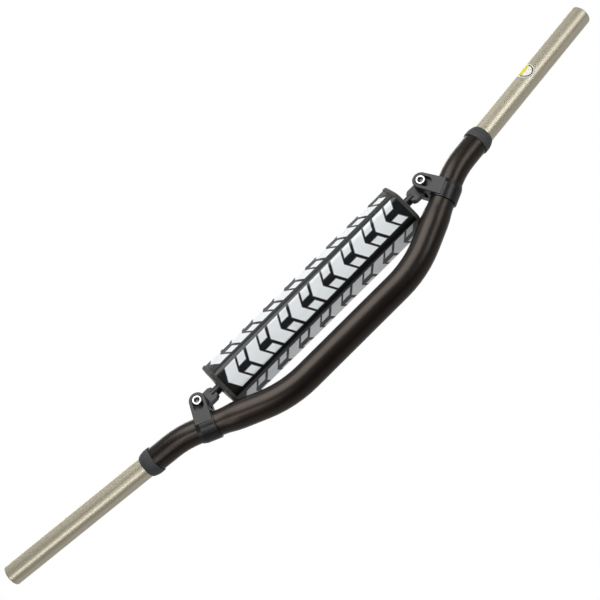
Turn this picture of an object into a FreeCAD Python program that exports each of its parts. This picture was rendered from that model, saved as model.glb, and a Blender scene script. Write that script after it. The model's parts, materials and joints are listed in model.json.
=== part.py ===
import FreeCAD, Part
import math
import os

# Bent twin-tube handlebar with a padded crossbar, in millimetres.
# The rider sits at +Y and looks along -Y, so +X runs to the rider's left hand; +Z is up.
# The origin is the middle of the clamping zone, on the tube's axis.

# Line of the tubes
bar_width = 811.0
clamp_zone = 123.0
rise_angle = 25.2
rise_bend_radius = 115.0
grip_bend_radius = 100.0
sweep_angle = 13.15
upsweep_angle = 12.6

# Inner tube: the core between the grips is thicker, so the outer tube slides over the grips to it
grip_diameter = 22.2
core_diameter = 22.8
grip_bore = 16.0
end_round = 1.5
bore_chamfer = 0.8

# Outer tube: full diameter in the middle, necked down onto the core before the crossbar clamps
centre_diameter = 28.6
neck_diameter = 25.4
centre_wall = 2.0
neck_start = 24.9
neck_length = 22.0
tail_length = 25.0

# End collars
collar_length = 13.0
collar_overlap = 6.0
collar_wall = 1.25
collar_lip = 0.7

# Crossbar clamps
clamp_gap = 2.0
clamp_width = 20.0
clamp_margin = 0.8
clamp_wall = 1.8
clamp_nose = 4.5
clamp_slit = 2.5
ear_height = 24.0
ear_top_radius = 8.5
ear_base_width = 18.5
ear_thickness = 9.2
ear_floor_gap = 1.5
pocket_depth = 5.0
pocket_clearance = 0.5
pocket_length = 6.5

# Clamp bolts, M6 socket cap
bolt_diameter = 6.0
bolt_length = 25.0
bolt_head_diameter = 10.0
bolt_head_height = 6.0
bolt_socket = 5.0
bolt_socket_depth = 3.0
bolt_clearance = 0.2
head_edge = 0.6

# Crossbar and its ends
eye_radius = 6.8
eye_thickness = 12.0
blade_thickness = 8.0
blade_length = 19.0
blade_shoulder = 3.5
crossbar_diameter = 12.7
crossbar_bore = 9.5
plug_length = 30.0

# Pad: a hexagonal sleeve with rounded folds, flat side down, set back towards the rider
pad_across_flats = 49.6
pad_fold_radius = 9.0
pad_gap = 8.5
pad_dome = 3.5
pad_setback = 13.0
pad_clearance = 0.5
cover_wall = 1.2
tube_setback = 4.0
neck_hole_clearance = 1.5
slit_width = 1.6
binding_wall = 0.7
binding_width = 3.0
binding_lip = 2.4
strip_width = 16.0
strip_thickness = 1.0
strip_inset = 14.0
strip_margin = 2.0

axis_x = FreeCAD.Vector(1, 0, 0)
axis_y = FreeCAD.Vector(0, 1, 0)
axis_z = FreeCAD.Vector(0, 0, 1)
origin = FreeCAD.Vector(0, 0, 0)


# Line of the left half: straight, bend, rise, bend, grip
rise = math.radians(rise_angle)
rise_dir = FreeCAD.Vector(math.cos(rise), 0, math.sin(rise))
rise_normal = FreeCAD.Vector(-math.sin(rise), 0, math.cos(rise))
sweep_slope = math.tan(math.radians(sweep_angle))
upsweep_slope = math.tan(math.radians(upsweep_angle))
grip_dir = FreeCAD.Vector(1, sweep_slope, upsweep_slope)
grip_dir.normalize()

bend_in = FreeCAD.Vector(clamp_zone / 2, 0, 0)
bend_centre = bend_in + axis_z * rise_bend_radius
rise_start = bend_centre - rise_normal * rise_bend_radius
rise_length = neck_start + neck_length + clamp_gap + clamp_width + clamp_margin
rise_end = rise_start + rise_dir * rise_length
turn_dir = grip_dir - rise_dir * grip_dir.dot(rise_dir)
turn_dir.normalize()
turn_axis = rise_dir.cross(turn_dir)
turn_angle = math.degrees(grip_dir.getAngle(rise_dir))
turn_centre = rise_end + turn_dir * grip_bend_radius
spin = FreeCAD.Rotation(turn_axis, turn_angle)
grip_start = turn_centre + spin.multVec(rise_end - turn_centre)
grip_length = (bar_width / 2 - grip_start.x) / grip_dir.x
grip_end = grip_start + grip_dir * grip_length


def bend(radius, start, start_dir, centre, axis, angle):
    """A rod bent round an arc."""
    ring = Part.Wire([Part.Circle(start, start_dir, radius).toShape()])
    return Part.Face(ring).revolve(centre, axis, angle)


def joined(pieces):
    """One solid from pieces that meet face to face."""
    return pieces[0].multiFuse(pieces[1:]).removeSplitter()


def mirrored(shape):
    """The same piece on the right half."""
    return shape.mirror(origin, axis_x)


def whole(half):
    """Both halves of a tube as one solid."""
    return joined([half, mirrored(half)])


def taper(wide, narrow, length, start, direction):
    """Solid neck from one radius to another, its outline two arcs that run on smoothly."""
    half = length / 2
    drop = (wide - narrow) / 2
    arc_radius = (half ** 2 + drop ** 2) / (2 * drop)
    sag = arc_radius - math.sqrt(arc_radius ** 2 - (half / 2) ** 2)

    def at(along, radius):
        return FreeCAD.Vector(along, radius, 0)

    edges = [
        Part.LineSegment(at(0, 0), at(0, wide)).toShape(),
        Part.Arc(at(0, wide), at(half / 2, wide - sag), at(half, wide - drop)).toShape(),
        Part.Arc(at(half, wide - drop), at(1.5 * half, narrow + sag), at(length, narrow)).toShape(),
        Part.LineSegment(at(length, narrow), at(length, 0)).toShape(),
        Part.LineSegment(at(length, 0), at(0, 0)).toShape(),
    ]
    neck = Part.Face(Part.Wire(edges)).revolve(origin, axis_x, 360)
    neck.Placement = FreeCAD.Placement(start, FreeCAD.Rotation(axis_x, direction))
    return neck


def rod(mid_radius, neck_radius, grip_radius, core_to, end_at):
    """Solid of the left half: radii in the middle, past the neck, and from core_to to end_at."""
    full_to = rise_start + rise_dir * neck_start
    neck_at = full_to + rise_dir * neck_length
    pieces = [
        Part.makeCylinder(mid_radius, clamp_zone / 2, origin, axis_x),
        bend(mid_radius, bend_in, axis_x, bend_centre, axis_y * -1, rise_angle),
        Part.makeCylinder(mid_radius, neck_start, rise_start, rise_dir),
    ]
    if mid_radius > neck_radius:
        pieces.append(taper(mid_radius, neck_radius, neck_length, full_to, rise_dir))
    else:
        pieces.append(Part.makeCylinder(mid_radius, neck_length, full_to, rise_dir))
    rest = rise_length - neck_start - neck_length
    pieces.append(Part.makeCylinder(neck_radius, rest, neck_at, rise_dir))
    pieces.append(bend(neck_radius, rise_end, rise_dir, turn_centre, turn_axis, turn_angle))
    pieces.append(Part.makeCylinder(neck_radius, core_to, grip_start, grip_dir))
    if end_at > core_to:
        step = grip_start + grip_dir * core_to
        pieces.append(Part.makeCylinder(grip_radius, end_at - core_to, step, grip_dir))
    return joined(pieces)


# Inner tube, one piece from grip to grip
grip_radius = grip_diameter / 2
core_radius = core_diameter / 2
bore_radius = grip_bore / 2
grip_from = tail_length - collar_overlap + collar_length
inner_half = rod(core_radius, core_radius, grip_radius, grip_from, grip_length)
tip_edges = [e for e in inner_half.Edges if e.Closed and (e.CenterOfMass - grip_end).Length < 0.01]
inner_half = inner_half.makeFillet(end_round, tip_edges)
bore_half = rod(bore_radius, bore_radius, bore_radius, grip_length, grip_length)
flare_at = grip_end - grip_dir * bore_chamfer
flare = Part.makeCone(bore_radius, bore_radius + bore_chamfer, bore_chamfer, flare_at, grip_dir)
inner_tube = whole(inner_half).cut(whole(bore_half.fuse(flare)))

# Outer tube, spaced off the core in the middle and seated on it past the necks
centre_radius = centre_diameter / 2
neck_radius = neck_diameter / 2
sleeve_half = rod(centre_radius, neck_radius, neck_radius, tail_length, tail_length)
space_half = rod(centre_radius - centre_wall, core_radius, core_radius, tail_length, tail_length)
outer_tube = whole(sleeve_half).cut(whole(space_half))


# End collar: a band over the outer tube's end and a rounded nose down to the grip
def collar():
    band = neck_radius + collar_wall
    lip = core_radius + collar_lip
    nose = collar_length - collar_overlap

    def at(along, radius):
        return FreeCAD.Vector(along, radius, 0)

    edges = [
        Part.LineSegment(at(0, neck_radius), at(0, band - 0.5)).toShape(),
        Part.Arc(at(0, band - 0.5), at(0.3, band - 0.15), at(1.0, band)).toShape(),
        Part.LineSegment(at(1.0, band), at(collar_overlap - 0.5, band)).toShape(),
        Part.Arc(
            at(collar_overlap - 0.5, band),
            at(collar_overlap + 0.45 * nose, band - 0.38 * (band - lip)),
            at(collar_length - 0.5, lip),
        ).toShape(),
        Part.LineSegment(at(collar_length - 0.5, lip), at(collar_length, lip - 0.5)).toShape(),
        Part.LineSegment(at(collar_length, lip - 0.5), at(collar_length, core_radius)).toShape(),
        Part.LineSegment(at(collar_length, core_radius), at(collar_overlap, core_radius)).toShape(),
        Part.LineSegment(at(collar_overlap, core_radius), at(collar_overlap, neck_radius)).toShape(),
        Part.LineSegment(at(collar_overlap, neck_radius), at(0, neck_radius)).toShape(),
    ]
    ring = Part.Face(Part.Wire(edges)).revolve(origin, axis_x, 360)
    place = grip_start + grip_dir * (tail_length - collar_overlap)
    ring.Placement = FreeCAD.Placement(place, FreeCAD.Rotation(axis_x, grip_dir))
    return ring


left_end_collar = collar()

# Clamps: X along the tube outwards, Z away from it, origin on the axis at the ring's middle
clamp_along = neck_start + neck_length + clamp_gap + clamp_width / 2
clamp_origin = rise_start + rise_dir * clamp_along
clamp_turn = FreeCAD.Rotation(axis_y, -rise_angle)
clamp_place = FreeCAD.Placement(clamp_origin, clamp_turn)
ring_radius = neck_radius + clamp_wall
ear_gap = eye_thickness
ear_face = ear_gap / 2 + ear_thickness
bolt_radius = bolt_diameter / 2
head_radius = bolt_head_diameter / 2
head_seat = ear_face - pocket_depth


def ear_outline():
    """Flat plate with a round top, its flanks tangent to the top and down to the ring's middle."""
    half_base = ear_base_width / 2
    reach = math.hypot(half_base, ear_height)
    lean = math.asin(ear_top_radius / reach) - math.atan2(half_base, ear_height)
    foot = FreeCAD.Vector(half_base, 0, 0)
    side = FreeCAD.Vector(ear_top_radius * math.cos(lean), 0, ear_height + ear_top_radius * math.sin(lean))
    top = FreeCAD.Vector(0, 0, ear_height + ear_top_radius)
    other_side = FreeCAD.Vector(-side.x, 0, side.z)
    other_foot = FreeCAD.Vector(-half_base, 0, 0)
    edges = [
        Part.LineSegment(foot, side).toShape(),
        Part.Arc(side, top, other_side).toShape(),
        Part.LineSegment(other_side, other_foot).toShape(),
        Part.LineSegment(other_foot, foot).toShape(),
    ]
    return Part.Face(Part.Wire(edges))


def bar_clamp():
    half = clamp_width / 2
    ring = Part.makeCylinder(ring_radius, clamp_width - clamp_nose, FreeCAD.Vector(-half, 0, 0), axis_x)
    nose_at = FreeCAD.Vector(half - clamp_nose, 0, 0)
    nose = Part.makeCone(ring_radius, neck_radius + 0.4 * clamp_wall, clamp_nose, nose_at, axis_x)
    outline = ear_outline()
    outline.translate(axis_y * -ear_face)
    ears = outline.extrude(axis_y * (2 * ear_face))
    body = joined([ring, nose, ears])
    rim = [e for e in body.Edges if abs(abs(e.BoundBox.Center.y) - ear_face) < 0.01]
    body = body.makeChamfer(0.6, [e for e in rim if e.BoundBox.ZMax > 1.0])
    body = body.cut(Part.makeCylinder(neck_radius, 2 * clamp_width, FreeCAD.Vector(-clamp_width, 0, 0), axis_x))
    floor = ring_radius + ear_floor_gap
    span = 2 * clamp_width
    gap = Part.makeBox(span, ear_gap, ear_height * 2, FreeCAD.Vector(-clamp_width, -ear_gap / 2, floor))
    slit = Part.makeBox(span, clamp_slit, ear_height, FreeCAD.Vector(-clamp_width, -clamp_slit / 2, 0))
    body = body.cut(gap.fuse(slit))
    # Pocket for the bolt head, run out towards the tube with a round end
    pocket_radius = head_radius + pocket_clearance
    top = FreeCAD.Vector(0, -head_seat, ear_height)
    low = FreeCAD.Vector(0, -head_seat, ear_height - pocket_length)
    out = axis_y * -1
    run = Part.makeBox(2 * pocket_radius, pocket_depth, pocket_length,
                       FreeCAD.Vector(-pocket_radius, -ear_face, ear_height - pocket_length))
    pocket = Part.makeCylinder(pocket_radius, pocket_depth, top, out)
    pocket = pocket.fuse(Part.makeCylinder(pocket_radius, pocket_depth, low, out)).fuse(run)
    body = body.cut(pocket)
    # Plain hole in the front ear, threaded one in the back ear
    middle = FreeCAD.Vector(0, 0, ear_height)
    body = body.cut(Part.makeCylinder(bolt_radius + bolt_clearance, ear_face, middle, out))
    body = body.cut(Part.makeCylinder(bolt_radius, ear_face, middle, axis_y))
    body.Placement = clamp_place
    return body


left_bar_clamp = bar_clamp()


# Clamp bolt, head at the front
def clamp_bolt():
    seat = FreeCAD.Vector(0, -head_seat, ear_height)
    out = axis_y * -1
    head = Part.makeCylinder(head_radius, bolt_head_height, seat, out)
    head_top = seat + out * bolt_head_height
    crown = [e for e in head.Edges if e.Closed and (e.CenterOfMass - head_top).Length < 0.01]
    head = head.makeFillet(head_edge, crown)
    shank = Part.makeCylinder(bolt_radius, bolt_length, seat, axis_y)
    tip_at = seat + axis_y * bolt_length
    bolt = joined([head, shank])
    tip = [e for e in bolt.Edges if e.Closed and (e.CenterOfMass - tip_at).Length < 0.01]
    bolt = bolt.makeChamfer(0.6, tip)
    socket_radius = bolt_socket / 2 / math.cos(math.radians(30))
    corners = []
    for i in range(7):
        turn = math.radians(60 * i)
        corner = FreeCAD.Vector(socket_radius * math.cos(turn), 0, socket_radius * math.sin(turn))
        corners.append(head_top + corner)
    socket = Part.Face(Part.makePolygon(corners)).extrude(axis_y * bolt_socket_depth)
    bolt = bolt.cut(socket)
    bolt.Placement = clamp_place
    return bolt


left_clamp_bolt = clamp_bolt()

# Crossbar: its axis runs through both bolts
bolt_at = clamp_origin + rise_normal * ear_height
shoulder_x = bolt_at.x - blade_length
pad_half = shoulder_x - pad_gap
crossbar_half = pad_half - tube_setback
crossbar_radius = crossbar_diameter / 2
shank_radius = crossbar_bore / 2


# Crossbar end: eye between the ears, flat blade, round neck that plugs into the crossbar
def crossbar_end():
    eye_at = FreeCAD.Vector(bolt_at.x, -eye_thickness / 2, bolt_at.z)
    eye = Part.makeCylinder(eye_radius, eye_thickness, eye_at, axis_y)

    def at(x, z):
        return FreeCAD.Vector(x, -blade_thickness / 2, bolt_at.z + z)

    low = shoulder_x + blade_shoulder
    outline = Part.makePolygon([
        at(bolt_at.x, eye_radius),
        at(low, eye_radius),
        at(shoulder_x, shank_radius),
        at(shoulder_x, -shank_radius),
        at(low, -eye_radius),
        at(bolt_at.x, -eye_radius),
        at(bolt_at.x, eye_radius),
    ])
    blade = Part.Face(outline).extrude(axis_y * blade_thickness)
    corners = []
    for edge in blade.Edges:
        middle = edge.BoundBox.Center
        if edge.BoundBox.YLength > 1 and abs(middle.x - low) < 0.01:
            corners.append(edge)
    blade = blade.makeFillet(blade_shoulder * 0.7, corners)
    shank_from = crossbar_half - plug_length
    shank_length = low + 1.0 - shank_from
    shank = Part.makeCylinder(shank_radius, shank_length, FreeCAD.Vector(shank_from, 0, bolt_at.z), axis_x)
    body = joined([eye, blade, shank])
    hole_at = FreeCAD.Vector(bolt_at.x, -ear_face, bolt_at.z)
    return body.cut(Part.makeCylinder(bolt_radius + bolt_clearance, 2 * ear_face, hole_at, axis_y))


left_crossbar_end = crossbar_end()

crossbar_start = FreeCAD.Vector(-crossbar_half, 0, bolt_at.z)
crossbar_tube = Part.makeCylinder(crossbar_radius, 2 * crossbar_half, crossbar_start, axis_x)
crossbar_tube = crossbar_tube.cut(Part.makeCylinder(shank_radius, 2 * crossbar_half, crossbar_start, axis_x))

# Pad: its underside clears the outer tube where the rises pass its ends
apothem = pad_across_flats / 2
pad_end = pad_half + pad_dome
tube_top = rise_start.z + (pad_end - rise_start.x) * math.tan(rise) + centre_radius / math.cos(rise)
pad_z = tube_top + pad_clearance + binding_wall + apothem
pad_centre = FreeCAD.Vector(0, pad_setback, pad_z)
pad_reach = apothem / math.cos(math.radians(30))
dome_radius = (pad_reach ** 2 + pad_dome ** 2) / (2 * pad_dome)


def prism(offset, start, end):
    """Hexagonal bar along X, flats up and down, rounded folds, grown by offset."""
    reach = (apothem + offset) / math.cos(math.radians(30))
    corners = []
    for i in range(7):
        turn = math.radians(60 * i)
        corners.append(pad_centre + FreeCAD.Vector(start, reach * math.cos(turn), reach * math.sin(turn)))
    bar = Part.Face(Part.makePolygon(corners)).extrude(axis_x * (end - start))
    folds = [e for e in bar.Edges if e.BoundBox.XLength > 0.5 * (end - start)]
    return bar.makeFillet(pad_fold_radius + offset, folds)


def domed(offset):
    """Wide round body with the pad's two bulging ends, grown by offset."""
    radius = dome_radius + offset
    wide = 2 * apothem
    drop = radius - math.sqrt(radius ** 2 - wide ** 2)
    end = pad_end + offset
    middle = wide / 2
    middle_drop = radius - math.sqrt(radius ** 2 - middle ** 2)

    def at(x, out):
        return pad_centre + FreeCAD.Vector(x, 0, out)

    edges = [
        Part.Arc(at(end, 0), at(end - middle_drop, middle), at(end - drop, wide)).toShape(),
        Part.LineSegment(at(end - drop, wide), at(drop - end, wide)).toShape(),
        Part.Arc(at(drop - end, wide), at(middle_drop - end, middle), at(-end, 0)).toShape(),
        Part.LineSegment(at(-end, 0), at(end, 0)).toShape(),
    ]
    return Part.Face(Part.Wire(edges)).revolve(pad_centre, axis_x, 360)


pad_span = pad_end + 5
body_outer = prism(0, -pad_span, pad_span)
body_inner = prism(-cover_wall, -pad_span, pad_span)
domes_outer = domed(0)
domes_inner = domed(-cover_wall)

# Slit from the crossbar to the back, through foam, end panels and bindings
slit_from = FreeCAD.Vector(-pad_span, 0, bolt_at.z - slit_width / 2)
slit_box = Part.makeBox(2 * pad_span, pad_setback + 2 * apothem, slit_width, slit_from)

pad_foam = body_inner.common(domes_inner)
pad_foam = pad_foam.cut(Part.makeCylinder(crossbar_radius, 2 * crossbar_half, crossbar_start, axis_x))
shank_line = FreeCAD.Vector(-pad_span, 0, bolt_at.z)
neck_hole = Part.makeCylinder(shank_radius + neck_hole_clearance, 2 * pad_span, shank_line, axis_x)
crossbar_room = Part.makeCylinder(crossbar_radius + 0.01, 2 * crossbar_half, crossbar_start, axis_x)
pad_foam = pad_foam.cut(neck_hole.cut(crossbar_room))
pad_foam = pad_foam.cut(slit_box)

end_panels = body_inner.common(domes_outer).cut(domes_inner).cut(neck_hole).cut(slit_box)
left_pad_end = [s for s in end_panels.Solids if s.CenterOfMass.x > 0][0]

# Closure under the slit at the back: rings round the pad's section, cut off at level heights
slit_top = bolt_at.z + slit_width / 2
strip_top = bolt_at.z - slit_width / 2 - strip_margin
strip_low = strip_top - strip_width * math.cos(math.radians(30))
strip_half = pad_half - strip_inset
flap_half = strip_half + strip_margin


def back_ring(inside, outside, half, low, top):
    """A layer on the pad's back between two offsets and two heights."""
    layer = prism(outside, -half, half).cut(prism(inside, -half - 1, half + 1))
    zone = Part.makeBox(2 * half, 2 * apothem, top - low, FreeCAD.Vector(-half, pad_centre.y, low))
    return layer.common(zone)


hook_from = strip_thickness
flap_from = 2 * strip_thickness
flap_to = flap_from + cover_wall
pad_loop_strip = back_ring(0, hook_from, strip_half, strip_low, strip_top)
pad_hook_strip = back_ring(hook_from, flap_from, strip_half, strip_low, strip_top)

# Cover: sleeve, slit at the back, with a flap that hangs from above the slit over the closure
sleeve = body_outer.cut(body_inner).common(domes_outer).cut(slit_box)
flap = back_ring(flap_from, flap_to, flap_half, strip_low - strip_margin, slit_top + strip_margin)
heel = back_ring(0, flap_to, flap_half, slit_top, slit_top + strip_margin)
pad_cover = joined([sleeve, flap, heel])

# Bindings round the two rims
band = prism(binding_wall, pad_half - binding_width, pad_span)
band = band.common(domed(binding_wall)).cut(body_outer.common(domes_outer))
band = band.cut(prism(-cover_wall - binding_lip, 0, pad_span))
left_pad_binding = band.cut(slit_box)

parts = {
    "inner_tube": inner_tube,
    "outer_tube": outer_tube,
    "left_end_collar": left_end_collar,
    "left_bar_clamp": left_bar_clamp,
    "left_clamp_bolt": left_clamp_bolt,
    "left_crossbar_end": left_crossbar_end,
    "crossbar_tube": crossbar_tube,
    "pad_foam": pad_foam,
    "pad_cover": pad_cover,
    "left_pad_end": left_pad_end,
    "left_pad_binding": left_pad_binding,
    "pad_loop_strip": pad_loop_strip,
    "pad_hook_strip": pad_hook_strip,
}
for name in [n for n in parts if n.startswith("left_")]:
    parts["right_" + name[5:]] = mirrored(parts[name])

os.makedirs("parts", exist_ok=True)
for name, shape in parts.items():
    if len(shape.Solids) == 1:
        shape = shape.Solids[0]
    shape.exportStep("parts/" + name + ".step")
    box = shape.BoundBox
    size = (round(box.XLength, 2), round(box.YLength, 2), round(box.ZLength, 2))
    print(name, len(shape.Solids), shape.isValid(), round(shape.Volume, 1), size)
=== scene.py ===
import json
import math
import bmesh
import bpy
from mathutils import Matrix, Vector, noise


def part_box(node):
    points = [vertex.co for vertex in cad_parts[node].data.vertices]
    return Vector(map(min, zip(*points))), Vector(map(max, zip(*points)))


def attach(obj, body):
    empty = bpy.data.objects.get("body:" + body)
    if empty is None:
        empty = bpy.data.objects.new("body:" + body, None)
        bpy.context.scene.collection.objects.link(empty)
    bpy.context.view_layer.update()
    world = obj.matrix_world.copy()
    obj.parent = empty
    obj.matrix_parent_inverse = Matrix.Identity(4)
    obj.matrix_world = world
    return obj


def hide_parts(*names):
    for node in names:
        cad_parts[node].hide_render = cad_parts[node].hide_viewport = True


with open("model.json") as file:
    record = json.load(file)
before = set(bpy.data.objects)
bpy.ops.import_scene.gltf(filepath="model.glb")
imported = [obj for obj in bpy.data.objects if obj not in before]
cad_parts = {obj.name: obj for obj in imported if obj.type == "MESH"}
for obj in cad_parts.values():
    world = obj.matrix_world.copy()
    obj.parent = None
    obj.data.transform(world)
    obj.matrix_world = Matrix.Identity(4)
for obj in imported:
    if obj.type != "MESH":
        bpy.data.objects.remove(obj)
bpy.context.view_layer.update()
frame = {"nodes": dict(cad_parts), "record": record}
scene = bpy.context.scene
scene.view_settings.view_transform = "Standard"
body = "root"
mm = 0.001
print("frame loaded")

# Camera: looks up at the bar from below its front, with the bar across the frame's diagonal
cameraSetup = {
    "distance": 2.0,
    "elevation": -26.14,
    "yaw": -5.40,
    "roll": -2.29,
    "turnInFrame": 44.7,
    "focalPixels": 2047.69,
    "framePixels": 600,
    "aim": (0.0, 0.0, 0.040),
    "moveRight": -0.013298,
    "moveUp": 0.021664,
}


# right and up of the level picture, and the way back to the lens
def levelAxes(setup):
    rise = math.radians(setup["elevation"])
    yaw = math.radians(setup["yaw"])
    roll = math.radians(setup["roll"])
    back = Vector((math.sin(yaw) * math.cos(rise), -math.cos(yaw) * math.cos(rise), math.sin(rise)))
    side = (-back).cross(Vector((0, 0, 1))).normalized()
    above = side.cross(-back)
    right = math.cos(roll) * side + math.sin(roll) * above
    up = -math.sin(roll) * side + math.cos(roll) * above
    return right, up, back


levelRight, levelUp, levelBack = levelAxes(cameraSetup)


def makeCamera(setup):
    turn = math.radians(setup["turnInFrame"])
    right = math.cos(turn) * levelRight - math.sin(turn) * levelUp
    up = math.sin(turn) * levelRight + math.cos(turn) * levelUp
    place = Vector(setup["aim"]) + levelBack * setup["distance"]
    place += levelRight * setup["moveRight"] + levelUp * setup["moveUp"]
    data = bpy.data.cameras.new("photoCamera")
    data.sensor_width = 36.0
    data.lens = setup["focalPixels"] / setup["framePixels"] * data.sensor_width
    data.clip_end = 30.0
    camera = bpy.data.objects.new("photoCamera", data)
    scene.collection.objects.link(camera)
    turned = Matrix((right, up, levelBack)).transposed().to_4x4()
    camera.matrix_world = Matrix.Translation(place) @ turned
    scene.camera = camera


makeCamera(cameraSetup)
print("camera set")

# Stage and light: a floor far below, one lamp overhead, two each side of the lens and one behind
stageSetup = {"floorHeight": -1.15, "floorHalf": 7.0, "nearFloor": (0.12, 0.12, 0.12),
              "farFloor": (0.88, 0.88, 0.88), "slope": 1.2, "middle": 0.45, "seenShare": 0.88,
              "mirroredGlow": 0.62}
worldSetup = {"lensSide": 0.07, "farSide": 0.80, "slope": 0.75, "middle": 0.35}
lampSetup = {
    "overhead": {"aside": 14.0, "above": 58.0, "distance": 1.25, "size": (1.0, 1.2), "power": 15.0},
    "leftFlank": {"aside": -24.0, "above": 7.0, "distance": 1.7, "size": (0.36, 0.5), "power": 4.4},
    "leftWing": {"aside": -45.0, "above": -8.0, "distance": 1.7, "size": (0.4, 0.5), "power": 3.4},
    "rightFlank": {"aside": 48.0, "above": -7.0, "distance": 1.7, "size": (0.6, 0.7), "power": 4.6},
    "rightWing": {"aside": 62.0, "above": 4.0, "distance": 1.7, "size": (0.7, 0.8), "power": 3.3},
    "behind": {"aside": 180.0, "above": 25.0, "distance": 1.9, "size": (1.6, 0.8), "power": 9.0},
}


def feed(tree, socket, value):
    if isinstance(value, bpy.types.NodeSocket):
        tree.links.new(value, socket)
    elif value is not None:
        socket.default_value = value


def mathNode(tree, operation, a, b=None, c=None, clamp=False):
    node = tree.nodes.new("ShaderNodeMath")
    node.operation = operation
    node.use_clamp = clamp
    for socket, value in zip(node.inputs, (a, b, c)):
        feed(tree, socket, value)
    return node.outputs[0]


def vectorNode(tree, operation, a, b):
    node = tree.nodes.new("ShaderNodeVectorMath")
    node.operation = operation
    feed(tree, node.inputs[0], a)
    feed(tree, node.inputs[1], b)
    return node.outputs["Value"] if operation == "DOT_PRODUCT" else node.outputs["Vector"]


# a and b are sockets or plain colours
def mixColour(tree, factor, a, b):
    node = tree.nodes.new("ShaderNodeMix")
    node.data_type = "RGBA"
    feed(tree, node.inputs[0], factor)
    for socket, colour in ((node.inputs[6], a), (node.inputs[7], b)):
        feed(tree, socket, (*colour, 1) if isinstance(colour, tuple) else colour)
    return node.outputs[2]


def spreadValue(tree, value, low, high):
    node = tree.nodes.new("ShaderNodeMapRange")
    feed(tree, node.inputs[0], value)
    node.inputs[3].default_value = low
    node.inputs[4].default_value = high
    return node.outputs[0]


# the three parts of a vector
def splitNode(tree, vector):
    node = tree.nodes.new("ShaderNodeSeparateXYZ")
    tree.links.new(vector, node.inputs[0])
    return node.outputs


def joinNode(tree, values):
    node = tree.nodes.new("ShaderNodeCombineXYZ")
    for socket, value in zip(node.inputs, values):
        feed(tree, socket, value)
    return node.outputs[0]


# 0 below zero, 1 above it, and a slope of this width between
def softEdge(tree, value, width):
    return mathNode(tree, "ADD", mathNode(tree, "DIVIDE", value, width), 0.5, clamp=True)


def noiseNode(tree, vector, scale, detail, roughness):
    node = tree.nodes.new("ShaderNodeTexNoise")
    feed(tree, node.inputs["Vector"], vector)
    feed(tree, node.inputs["Scale"], scale)
    node.inputs["Detail"].default_value = detail
    node.inputs["Roughness"].default_value = roughness
    return node.outputs["Fac"]


def bumpNode(tree, height, distance):
    node = tree.nodes.new("ShaderNodeBump")
    node.inputs["Distance"].default_value = distance
    feed(tree, node.inputs["Height"], height)
    return node.outputs["Normal"]


def objectCoordinates(tree):
    return tree.nodes.new("ShaderNodeTexCoord").outputs["Object"]


def sewnCoordinates(tree):
    return tree.nodes.new("ShaderNodeTexCoord").outputs["UV"]


# 1 for what the lens sees straight on or through glass
def seenByLens(tree, rays):
    return mathNode(tree, "MAXIMUM", rays["Is Camera Ray"], rays["Is Transmission Ray"])


# the floor is dark in front of the bar and bright beyond it, and what mirrors it sees a steady glow
def makeStage(setup):
    half = setup["floorHalf"]
    mesh = bpy.data.meshes.new("studioFloor")
    low = setup["floorHeight"]
    corners = [(-half, -half, low), (half, -half, low), (half, half, low), (-half, half, low)]
    mesh.from_pydata(corners, [], [(0, 1, 2, 3)])
    floor = bpy.data.objects.new("studioFloor", mesh)
    scene.collection.objects.link(floor)
    material = bpy.data.materials.new("paleFloor")
    material.use_nodes = True
    tree = material.node_tree
    shader = tree.nodes["Principled BSDF"]
    y = splitNode(tree, objectCoordinates(tree))[1]
    beyond = mathNode(tree, "MULTIPLY_ADD", y, setup["slope"], setup["middle"], clamp=True)
    colour = mixColour(tree, beyond, setup["nearFloor"], setup["farFloor"])
    tree.links.new(colour, shader.inputs["Base Color"])
    shader.inputs["Roughness"].default_value = 0.9
    rays = tree.nodes.new("ShaderNodeLightPath").outputs
    seen = seenByLens(tree, rays)
    glow = tree.nodes.new("ShaderNodeEmission")
    tree.links.new(mixColour(tree, seen, colour, (1, 1, 1)), glow.inputs["Color"])
    tree.links.new(spreadValue(tree, seen, setup["mirroredGlow"], 1.0), glow.inputs["Strength"])
    blend = tree.nodes.new("ShaderNodeMixShader")
    share = mathNode(tree, "MULTIPLY", seen, setup["seenShare"])
    tree.links.new(mathNode(tree, "MAXIMUM", share, rays["Is Glossy Ray"]), blend.inputs[0])
    tree.links.new(shader.outputs[0], blend.inputs[1])
    tree.links.new(glow.outputs[0], blend.inputs[2])
    tree.links.new(blend.outputs[0], tree.nodes["Material Output"].inputs["Surface"])
    mesh.materials.append(material)


# the room is dark on the lens's side and bright beyond the bar, and the lens sees plain white
def makeWorld(setup):
    world = bpy.data.worlds.new("studioWorld")
    scene.world = world
    world.use_nodes = True
    tree = world.node_tree
    tree.nodes.clear()
    seen = seenByLens(tree, tree.nodes.new("ShaderNodeLightPath").outputs)
    way = tree.nodes.new("ShaderNodeTexCoord").outputs["Generated"]
    beyond = vectorNode(tree, "DOT_PRODUCT", way, tuple(-levelBack))
    share = mathNode(tree, "MULTIPLY_ADD", beyond, setup["slope"], setup["middle"], clamp=True)
    room = spreadValue(tree, share, setup["lensSide"], setup["farSide"])
    dim = mathNode(tree, "MULTIPLY", mathNode(tree, "SUBTRACT", 1.0, seen), room)
    strength = mathNode(tree, "ADD", seen, dim)
    background = tree.nodes.new("ShaderNodeBackground")
    background.inputs["Color"].default_value = (1, 1, 1, 1)
    tree.links.new(strength, background.inputs["Strength"])
    output = tree.nodes.new("ShaderNodeOutputWorld")
    tree.links.new(background.outputs[0], output.inputs["Surface"])


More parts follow.
